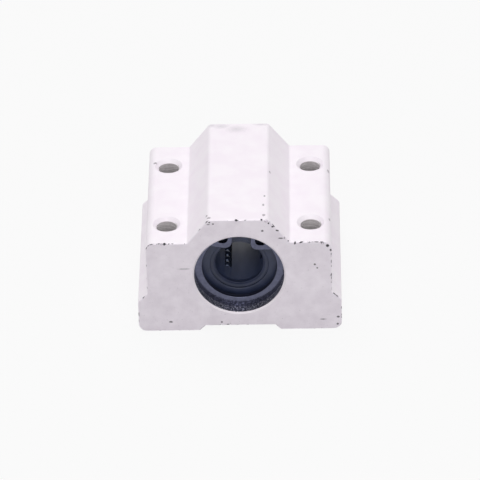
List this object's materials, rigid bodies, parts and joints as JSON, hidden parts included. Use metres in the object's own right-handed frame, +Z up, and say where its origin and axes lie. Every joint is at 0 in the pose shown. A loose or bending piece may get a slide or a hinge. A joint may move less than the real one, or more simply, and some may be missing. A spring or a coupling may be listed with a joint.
{
  "type": "linear bearing block",
  "caption": "Aluminium block with a low flange on each side and a raised crown, holding a ball bushing between two circlips; a shaft slides through it.",
  "frame": {"origin": "centre of the base, on the mounting face", "axes": "+Z up from the base, +Y along the shaft to the rear end, +X across the block; the front end faces -Y"},
  "size_m": [0.034, 0.03, 0.022],
  "materials": {
    "block": "blasted and clear anodised, end faces milled",
    "circlip": "blackened spring steel",
    "bearing_steel": "ground",
    "cage": "moulded resin",
    "seal": "moulded nitrile",
    "balls": "lapped"
  },
  "bodies": {
    "housing": {"housing_block": "block", "front_circlip": "circlip", "rear_circlip": "circlip"},
    "bushing": {"bearing_sleeve": "bearing_steel", "ball_cage": "cage", "front_end_ring": "bearing_steel", "rear_end_ring": "bearing_steel", "front_seal": "seal", "rear_seal": "seal", "loaded_balls_1": "balls", "return_balls_1": "balls", "front_turn_ball_1": "balls", "rear_turn_ball_1": "balls", "loaded_balls_2": "balls", "return_balls_2": "balls", "front_turn_ball_2": "balls", "rear_turn_ball_2": "balls", "loaded_balls_3": "balls", "return_balls_3": "balls", "front_turn_ball_3": "balls", "rear_turn_ball_3": "balls", "loaded_balls_4": "balls", "return_balls_4": "balls", "front_turn_ball_4": "balls", "rear_turn_ball_4": "balls"}
  },
  "joints": [
    {"name": "bushing_turn", "type": "hinge", "parent": "housing", "child": "bushing", "pos_m": [0, 0, 0.011], "axis": [0, 1, 0], "continuous": true}
  ]
}
